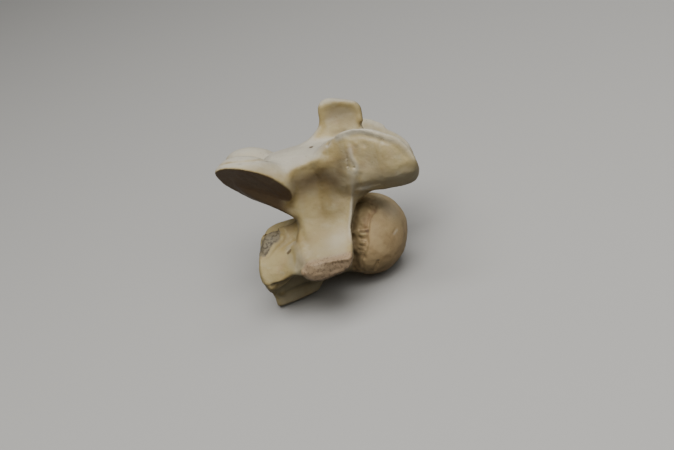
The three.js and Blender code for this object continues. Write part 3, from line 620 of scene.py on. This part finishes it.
# %% The broken patch, all the marks together, and the rough neck of the ball
PATCH = {"path": [(-30.5, -19.6, 8.6), (-26.6, -17.6, 12.4), (-22.2, -15.6, 14.8)], "width": 4.2, "depth": 0.9,
         "ragged": 0.12, "edge": 0.42, "sharpness": 8}
NECK = {"over": 2.5,  # the ball's surface, give or take this many mm
        "ridges_start": 0.4, "ridges_grow": 1.2, "line_at": 0.9, "line_wanders": 1.6, "line_width": 0.7,
        "line_depth": (0.2, 0.5), "ridge_depth": (0.2, 0.35, 0.3), "ridge_length": 3.2}
# mm apart, and where in the noise
PATTERN = {"rags": (2.2, 6.6), "wander": (9, 5.2), "line": (11, 9.4), "long ridges": (3.0, 2.4),
           "short ridges": (1.9, 8.8), "grain": (1.5, 1.7)}


def broken(x, y, z):
    """1 inside the patch where the dense wall has broken off, with a ragged edge."""
    near = stroke(x, y, z, PATCH["width"], PATCH["path"]) + PATCH["ragged"] * noise(x, y, z, *PATTERN["rags"])
    return np.clip(PATCH["sharpness"] * (near - PATCH["edge"]), 0, 1)


def marks(x, y, z, widest=math.inf):
    """How deep all the marks up to a width sink the surface."""
    depth = np.zeros_like(x)
    for where, table in ((np.abs(y), BOTH), (y, ONE)):
        for sink, width, path in table.values():
            if width <= widest:
                depth += sink * stroke(x, where, z, width, path)
    return depth


def neck(x, y, z):
    """The ball's rough neck: the growth line, and the ridges that run to it."""
    u, w = in_head(x, z)
    on_ball = np.clip(NECK["over"] - np.abs(head(x, np.abs(y), z)), 0, 1)
    behind = np.clip((NECK["ridges_start"] - u) / NECK["ridges_grow"], 0, 1) * on_ball
    off_line = u + NECK["line_at"] + NECK["line_wanders"] * noise(x, y, z, *PATTERN["wander"])
    line = np.exp(-(off_line / NECK["line_width"]) ** 2) * on_ball
    line_depth = NECK["line_depth"][0] + NECK["line_depth"][1] * noise(x, y, z, *PATTERN["line"])
    least, long, short = NECK["ridge_depth"]
    ridges = least + long * noise(u / NECK["ridge_length"], y, w, *PATTERN["long ridges"])
    ridges += short * noise(u, y, w, *PATTERN["short ridges"])
    return line_depth * line + behind * ridges


across = 2 * PATCH["width"] * math.sqrt(-math.log(PATCH["edge"]))
print("the broken patch is about", round(across, 1), "mm wide")

# %% The bone as it is, with marks and roughness
MARKED = 8  # mm from the surface; no mark matters farther off
SWELLS = ((0.35, 13, 0.0), (0.2, 6, 3.3), (0.1, 2.6, 7.1))  # mm high, mm apart, and where in the noise
GRAIN = {"all over": 0.06, "in the patch": 0.28, "on the processes' ends": 0.14}  # mm high
ENDS = {"side": 43, "grows_out": 2.5, "top": 2, "grows_down": 3}  # the transverse processes' rough ends


def worn_bone(x, y, z):
    shape = np.broadcast(x, y, z).shape
    x, y, z = (np.broadcast_to(value, shape).ravel().astype(float) for value in (x, y, z))
    solid = plain_bone(x, y, z)
    close = np.abs(solid) < MARKED
    at = x[close], y[close], z[close]
    patch = broken(*at)
    ends = (np.clip((np.abs(at[1]) - ENDS["side"]) / ENDS["grows_out"], 0, 1)
            * np.clip((ENDS["top"] - at[2]) / ENDS["grows_down"], 0, 1))
    all_over, in_patch, on_ends = GRAIN.values()
    grain = (all_over + in_patch * patch + on_ends * ends) * noise(*at, *PATTERN["grain"])
    broad, middling, fine = (height * noise(*at, size, offset) for height, size, offset in SWELLS)
    solid[close] += marks(*at) + neck(*at) + PATCH["depth"] * patch + (broad + middling) + (fine + grain)
    return solid.reshape(shape)


print("deepest mark", max(depth for table in (BOTH, ONE) for depth, width, path in table.values()), "mm")

# %% [markdown]
# ## From distances to a mesh
# The distances are worked out on a coarse grid, filled in between, and then worked out again only near the
# surface. Surface nets turn them into a mesh: one vertex in each cell that the surface crosses, and one
# four-sided face for each crossed grid edge.

# %% Distances on a grid, fine only near the surface
CELL = 0.5  # mm
COARSE = 4  # fine cells to a coarse one
BAND = 2.4  # mm from the surface, within which each point is worked out
LOW, HIGH = np.array([-50, -54, -33.0]), np.array([70, 54, 85.0])
AT_ONCE = 300_000  # points, which keeps memory small


def sample(solid):
    counts = np.ceil((HIGH - LOW) / CELL / COARSE).astype(int) * COARSE + 1
    axes = [LOW[d] + CELL * np.arange(counts[d]) for d in range(3)]
    values = solid(*np.meshgrid(*(axis[::COARSE] for axis in axes), indexing="ij"))
    for d in range(3):
        coarse = np.moveaxis(values, d, 0)
        finer = np.empty((COARSE * (coarse.shape[0] - 1) + 1,) + coarse.shape[1:])
        for part in range(COARSE):
            finer[part:-1:COARSE] = coarse[:-1] + (coarse[1:] - coarse[:-1]) * part / COARSE
        finer[-1] = coarse[-1]
        values = np.ascontiguousarray(np.moveaxis(finer, 0, d))
    flat = values.ravel()
    near = np.flatnonzero(np.abs(flat) < BAND)
    for start in range(0, len(near), AT_ONCE):
        chunk = near[start:start + AT_ONCE]
        i, j, k = np.unravel_index(chunk, values.shape)
        flat[chunk] = solid(axes[0][i], axes[1][j], axes[2][k])
    return values, len(near)


distances, exact = sample(worn_bone)
print("grid", distances.shape, "points worked out near the surface:", exact)

# %% Surface nets
def surface_net(values):
    """Vertices where cells cross the surface, and a four-sided face round each crossed edge of the grid."""
    inside = values < 0
    nx, ny, nz = (size - 1 for size in values.shape)
    corners = list(np.ndindex(2, 2, 2))
    corners_inside = sum(inside[a:nx + a, b:ny + b, c:nz + c].astype(np.int8) for a, b, c in corners)
    cells = np.argwhere((corners_inside > 0) & (corners_inside < len(corners)))
    number = np.full((nx, ny, nz), -1)
    number[tuple(cells.T)] = np.arange(len(cells))
    at = {corner: values[tuple((cells + corner).T)] for corner in corners}
    total, crossings = np.zeros((len(cells), 3)), np.zeros(len(cells))
    for a in corners:
        for b in corners:
            if sum(b) - sum(a) != 1 or min(np.subtract(b, a)) < 0:
                continue
            crossed = (at[a] < 0) != (at[b] < 0)
            t = at[a][crossed] / (at[a] - at[b])[crossed]
            total[crossed] += np.array(a) + np.subtract(b, a) * t[:, None]
            crossings += crossed
    points = LOW + CELL * (cells + total / crossings[:, None])
    faces = []
    for d in range(3):
        u, v = (np.eye(3, dtype=int)[(d + turn) % 3] for turn in (1, 2))
        along = np.moveaxis(inside, d, 0)
        crossed = np.argwhere(along[:-1] != along[1:])
        others = [axis for axis in range(3) if axis != d]
        nodes = np.empty_like(crossed)
        nodes[:, [d] + others] = crossed
        ring = np.stack([number[tuple((nodes - offset).T)] for offset in (0 * u, u, u + v, v)], axis=1)
        outwards = inside[tuple(nodes.T)]
        ring[~outwards] = ring[~outwards][:, ::-1]
        faces.append(ring)
    return points, np.concatenate(faces)


points, faces = surface_net(distances)
print(len(points), "vertices,", len(faces), "faces")

# %% [markdown]
# The net is turned and moved onto the table. It is finer than the bone needs on its smooth parts, so it is
# thinned: faces go where the surface is nearly flat and stay where it turns.

# %% The skin, laid on the table and thinned
FACE_LIMIT = 190_000


def to_table(points):
    return (points @ np.array(LEAN).T + np.array(SHIFT)) * MM


def to_bone(points):
    return (points / MM - np.array(SHIFT)) @ np.array(LEAN)


def thinned(name, points, faces, limit):
    """A mesh object with at most about that many triangles; each four-sided face is two."""
    mesh = bpy.data.meshes.new(name)
    mesh.from_pydata(to_table(points), [], faces)
    raw = placed(name, mesh)
    thin = raw.modifiers.new("thin", "DECIMATE")
    thin.ratio = min(1, limit / (2 * len(faces)))
    thinner = raw.evaluated_get(bpy.context.evaluated_depsgraph_get())
    finished = placed(name, bpy.data.meshes.new_from_object(thinner))
    bpy.data.objects.remove(raw)
    finished.name = name
    return finished


skin = thinned("bone", points, faces, FACE_LIMIT)
vertices = np.empty(3 * len(skin.data.vertices), np.float32)
skin.data.vertices.foreach_get("co", vertices)
vertices = vertices.reshape(-1, 3).astype(float)
vertices[:, 2] -= vertices[:, 2].min()  # wear has moved the lowest points a little, so it is set down again
skin.data.vertices.foreach_set("co", vertices.astype(np.float32).ravel())
skin.data.polygons.foreach_set("use_smooth", np.ones(len(skin.data.polygons), bool))
skin.data.update()
print(len(skin.data.polygons), "faces,", len(vertices), "vertices")

# %% [markdown]
# ## Where the finish changes
# The finish isn't the same all over: hollows hold a little dirt and painted shade, the facets and undersides are
# painted dark for shade, faces that look up are painted paler for light, the ball is tan where cartilage dried on
# it, and the muscle scars are darker. Each of these is a number on every vertex, from the shape or from painted
# paths.

# %% Where each vertex is, and how closed in
at_bone = to_bone(vertices)
normals = np.empty(3 * len(vertices), np.float32)
skin.data.vertex_normals.foreach_get("vector", normals)
normals = normals.reshape(-1, 3) @ np.array(LEAN)


def step(low, high, value):
    """0 up to low and 1 from high on, or the other way round where low is the higher."""
    t = np.clip((value - low) / (high - low), 0, 1)
    return t * t * (3 - 2 * t)


def hollow(reach):
    """How closed in the surface is: the bone met on the way out, as a share of the way."""
    out = at_bone + normals * reach
    return np.clip((reach - worn_bone(*out.T)) / reach, 0, 1)


bx, by, bz = at_bone.T
side = np.abs(by)
on_head = 1 - step(-0.3, 1.6, head(bx, side, bz))
print("share of the vertices on the ball:", round(float(on_head.mean()), 2))

# %% Where painted shade with a little soil, old blood, polish and painted light lie: share, width in mm and path
# Painted shade: hollows, holes, the pedicle's side and the underside of the soft crest are painted dark where shade
# falls, with a little soil under the crest.
SHADE_AND_SOIL = {
    "under the soft crest": (0.6, 6.0, [(0, 27.5, 40.5), (6, 27.5, 41.5), (13, 30.5, 42), (18, 31.5, 38)]),
    "hole for a vein": (0.7, 0.9, [(10.1, 13.6, 57.8)]),
    "beside the spine's foot": (0.7, 1.8, [(29.8, 4.4, 60)]),
    "dish in the spine": (0.35, 6.0, [(27, 4.5, 74), (34, 5, 71)]),
    "behind the ridge": (0.35, 4.0, [(27, 36, 50), (24, 34, 44)]),
    "side of the pedicle": (0.3, 13.0, [(10, 28, 34), (8, 34, 14), (6, 44, 2)]),
    "hollow of the neck": (0.6, 3.0, [(20.1, 22.2, 3.3), (19.4, 20.4, -8), (18, 17.7, -14)]),
}
STAIN = {
    "at the growth line": (0.9, 1.3, [(37.6, 15, 17.6), (36.8, 18, 15)]),
    "above the ledge": (0.6, 3.4, [(34, 18.5, 16), (30.5, 21.4, 12), (28.6, 22.6, 8.6)]),
    "beside the blocks": (0.5, 1.6, [(29.6, 23.6, 5), (27.4, 23.9, -2), (25, 23, -6)]),
}
PALE = {
    "wing's lip": (0.7, 1.8, BOTH["wing's lip"][2]),
    "ridge down the pedicle": (0.6, 1.2, BOTH["ridge down the pedicle"][2]),
    "web of the wing": (0.8, 2.6, [(33, 33.4, 30.4), (36, 34.6, 30.6)]),
    "scratch": (0.35, 0.6, ONE["scratch"][2]),
    "swelling of the transverse process": (0.3, 5.0, [(12, 35, 6), (16, 33, 8)]),
    "ridge on the wing": (0.5, 1.3, BOTH["ridge on the wing"][2]),
    # Painted light: the top of the ball, which the wing shades, is painted paler.
    "painted light on the crown of the ball": (0.3, 5.0, [(40, 12, 19), (46, 14, 13)]),
}


def painted(table):
    """How much of each vertex a table covers, on both sides of the bone."""
    return np.clip(sum(share * stroke(bx, side, bz, width, [(x, abs(y), z) for x, y, z in path])
                       for share, width, path in table.values()), 0, 1)


print("most soil", round(float(painted(SHADE_AND_SOIL).max()), 2), "most polish", round(float(painted(PALE).max()), 2))

# %% Hollows, ball, facets and scars as vertex numbers
u, v, w = in_facet(CAUDAL_FACET, bx, side, bz)
from_middle = np.hypot(u / CAUDAL_FACET["radii"][0], v / CAUDAL_FACET["radii"][1])
# The caudal facets face down and are painted dark for shade.
facet_shade = step(1.3, 0.3, np.abs(w - CAUDAL_FACET["thicker"])) * step(1.05, 0.95, from_middle)
up = normals[:, 2] / np.maximum(np.linalg.norm(normals, axis=1), TINY)
# Painted shade on the faces that look down under the caudal processes.
shade_under_caudal_process = step(0.1, -0.3, up) * step(-6, -15, bx) * step(22, 28, bz) * step(14, 20, side)
closed_in = 0.5 * hollow(1.2) + 0.7 * hollow(3.5) - 0.05
PROBE = 2.5  # mm under the surface
depth = -worn_bone(*(at_bone - normals * PROBE).T)  # near PROBE where the bone is flat, and less along thin edges
finish = {
    # Dirt and painted shade in crevices, and painted shade in the narrow pits and slits.
    "crevice_dirt_and_shade": np.maximum(step(0.3, 0.9, closed_in), step(0.3, 0.9, marks(bx, by, bz, widest=1))),
    "enclosed": step(0.35, 0.9, hollow(10.0)),
    "on_head": on_head,
    "flat": np.clip(1.2 * (depth - 1.6), 0, 1),
    "scar": step(-2, 1, -bz + 0.16 * (side - 46)) * step(42, 45.5, side),
    "broken": broken(bx, by, bz),
    # Painted shade with a little soil: the painted strokes, the facets and the undersides.
    "shade_and_soil": np.maximum.reduce([painted(SHADE_AND_SOIL), facet_shade, 0.95 * shade_under_caudal_process]),
    "stain": painted(STAIN) * step(-0.7, 0.5, noise(bx * 1.5, by * 1.5, bz / 3, 3, 4.4)),
    "pale": painted(PALE),
    # Painted light: faces that look up, on the upper part of the bone, are painted paler.
    "painted_top_light": step(0.2, 0.95, up) * step(14, 40, bz) * (1 - on_head),
}
for name, values in finish.items():
    layer = skin.data.attributes.new(name, "FLOAT", "POINT")
    layer.data.foreach_set("value", values.astype(np.float32))
    print(name, "mean", round(float(values.mean()), 3), "most", round(float(values.max()), 3))

# %% [markdown]
# ## Dry bone
# Cleaned bone is a mineral, slightly porous and matt: cream, with olive and pinkish clouds some millimetres
# across from the fat and the soil. It has no gloss, so its roughness is high, and the eye sees soft shading with
# almost no highlight. Real pores are a tenth of a millimetre wide, which is too fine to show, so they are drawn
# about a millimetre apart. They are finer than the mesh, so they are bump.

# %% Colours and one function that adds a node
def linear(code):
    channels = [int(code[i:i + 2], 16) / 255 for i in (1, 3, 5)]
    return [c / 12.92 if c <= 0.04045 else ((c + 0.055) / 1.055) ** 2.4 for c in channels] + [1]


def add(tree, kind, links=(), **settings):
    """A node with its settings; links pairs its inputs with other nodes' outputs or with values."""
    node = tree.nodes.new(kind)
    for name, value in settings.items():
        setattr(node, name, value)
    for name, source in dict(links).items():
        if isinstance(source, bpy.types.NodeSocket):
            tree.links.new(source, node.inputs[name])
        else:
            node.inputs[name].default_value = source
    return node


print("cream", [round(c, 3) for c in linear("#d8ccb0")])

# %% The bone's finish: a base colour and what lies on it
BASE = "#c6b27d"
# colour, most it covers, attribute that says where, and clouds: mm apart, detail, noise where they start and end
LAYERS = {
    "olive clouds": ("#b09a66", 1, None, (16, 3, 0.38, 0.66)),
    "pinkish clouds": ("#c9a184", 0.24, None, (9, 4, 0.5, 0.8)),
    "pale clouds": ("#d2c79f", 0.45, None, (5, 5, 0.5, 0.75)),
    # Painted light on the faces that look up.
    "painted light on upward faces": ("#d5d1c4", 0.75, "painted_top_light", None),
    "paler away from thin edges": ("#dad1b8", 0.4, "flat", None),
    "dried cartilage": ("#d3b483", 0.94, "on_head", None),
    "darker cartilage": ("#8e6a40", 0.45, "on_head", (7, 5, 0.48, 0.72)),
    "old blood": ("#7d5536", 0.8, "stain", None),
    "muscle scar": ("#b89a7e", 0.7, "scar", None),
    "broken wall": ("#857c6a", 0.8, "broken", None),
    "pores of the broken wall": ("#4a4234", 0.65, "broken", (1.5, 3, 0.5, 0.62)),
    "pores of the scar": ("#6f5a45", 0.6, "scar", (1.3, 3, 0.52, 0.66)),
    # Painted shade, with a little soil.
    "painted shade and soil": ("#553f25", 1, "shade_and_soil", None),
    # Polished lips, and painted light on the ball's crown.
    "polished lips and painted light": ("#e2dccb", 1, "pale", None),
    # Dirt and painted shade in crevices.
    "dirt and painted shade in crevices": ("#4f3a20", 0.75, "crevice_dirt_and_shade", None),
    "shade in hollows": ("#8d7a55", 0.6, "enclosed", None),
    "specks": ("#7a6240", 0.35, None, (1.1, 2, 0.66, 0.78)),
}
bone_material = bpy.data.materials.new("dry_cleaned_bone")
bone_material.use_nodes = True
tree = bone_material.node_tree
tree.nodes.clear()
on_bone = add(tree, "ShaderNodeTexCoord").outputs["Object"]
colour = linear(BASE)
for code, share, where, cloud in LAYERS.values():
    if cloud:
        size, detail, start, full = cloud
        value = add(tree, "ShaderNodeTexNoise", {"Vector": on_bone, "Scale": 1 / (size * MM), "Detail": detail})
        share = add(tree, "ShaderNodeMapRange", {"Value": value.outputs["Fac"], "From Min": start, "From Max": full,
                                                 "To Max": share}, interpolation_type="SMOOTHSTEP").outputs["Result"]
    if where:
        spot = add(tree, "ShaderNodeAttribute", attribute_name=where)
        share = add(tree, "ShaderNodeMath", {0: spot.outputs["Fac"], 1: share}, operation="MULTIPLY").outputs[0]
    colour = add(tree, "ShaderNodeMix", {0: share, 6: colour, 7: linear(code)}, data_type="RGBA").outputs[2]
print(len(LAYERS), "layers of colour over", BASE)

# %% The bone's grain and gloss
BUMPS = {"pores": (0.9, 4, 0.25, 0.55), "swells": (3.2, 3, 0.6, 0.4)}  # mm apart, detail, mm high, strength
bump = None
for size, detail, height, strength in BUMPS.values():
    value = add(tree, "ShaderNodeTexNoise", {"Vector": on_bone, "Scale": 1 / (size * MM), "Detail": detail})
    links = {"Height": value.outputs["Fac"], "Distance": height * MM, "Strength": strength}
    if bump:
        links["Normal"] = bump.outputs["Normal"]
    bump = add(tree, "ShaderNodeBump", links)
surface = add(tree, "ShaderNodeBsdfPrincipled", {"Base Color": colour, "Roughness": 0.62, "IOR": 1.5,
                                                 "Normal": bump.outputs["Normal"]})
add(tree, "ShaderNodeOutputMaterial", {"Surface": surface.outputs["BSDF"]})
skin.data.materials.clear()
skin.data.materials.append(bone_material)
print("the bone's finish has", len(tree.nodes), "nodes")

# %% [markdown]
# ## Table and light
# The table top is matt paint on board: an even pale grey with no gloss, so it takes a soft shadow and shows no
# reflection. Soft light comes from above and a little behind the camera.

# %% Table
HALF_TABLE = 4.0  # m, far past the edges of the view
corners = [(x * HALF_TABLE, y * HALF_TABLE, 0) for x, y in ((-1, -1), (1, -1), (1, 1), (-1, 1))]
mesh = bpy.data.meshes.new("table")
mesh.from_pydata(corners, [], [(0, 1, 2, 3)])
table = placed("table", mesh)
table_material = bpy.data.materials.new("matt_paint")
table_material.use_nodes = True
paint = table_material.node_tree.nodes["Principled BSDF"]
paint.inputs["Base Color"].default_value = linear("#c9c7c2")
paint.inputs["Roughness"].default_value = 0.9
mesh.materials.append(table_material)
table.visible_diffuse = False  # so that it doesn't light the bone from below
print("the table is", 2 * HALF_TABLE, "m across")


# %% Lights
def soft_light(name, towards, distance, size, watts):
    """A square lamp in a direction in the bone's frame, facing the bone. Lengths are in metres."""
    data = bpy.data.lights.new(name, "AREA")
    data.size, data.energy = size, watts
    lamp = placed(name, data)
    away = (LEAN @ towards).normalized()
    lamp.location = MIDDLE + away * distance
    lamp.rotation_euler = away.to_track_quat("Z", "Y").to_euler()
    print(name, "stands", round(lamp.location.z, 2), "m up")


MIDDLE = Vector((0, 0, 0.05))
soft_light("overhead", UP * 0.74 + BACK * 0.6 - RIGHT * 0.28, distance=1.4, size=1.5, watts=21)
soft_light("front", BACK * 0.9 + UP * 0.4 + RIGHT * 0.1, distance=1.6, size=1.2, watts=9)
world = bpy.data.worlds.new("room")
world.use_nodes = True
world.node_tree.nodes["Background"].inputs["Color"].default_value = (1, 1, 1, 1)
world.node_tree.nodes["Background"].inputs["Strength"].default_value = 0.04
bpy.context.scene.world = world

# %% [markdown]
# ## Tie the skin to the measured parts
# The one skin stands for all the measured parts, and rides with them.

# %% Tie up and finish
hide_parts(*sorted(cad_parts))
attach(skin, "root")
table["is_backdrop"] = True
boxes = [[[float(value) for value in corner] for corner in box] for box in (measured_box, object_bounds())]
for name, box in zip(("measured", "finished"), boxes):
    print(name, [[round(value / MM, 1) for value in corner] for corner in box])
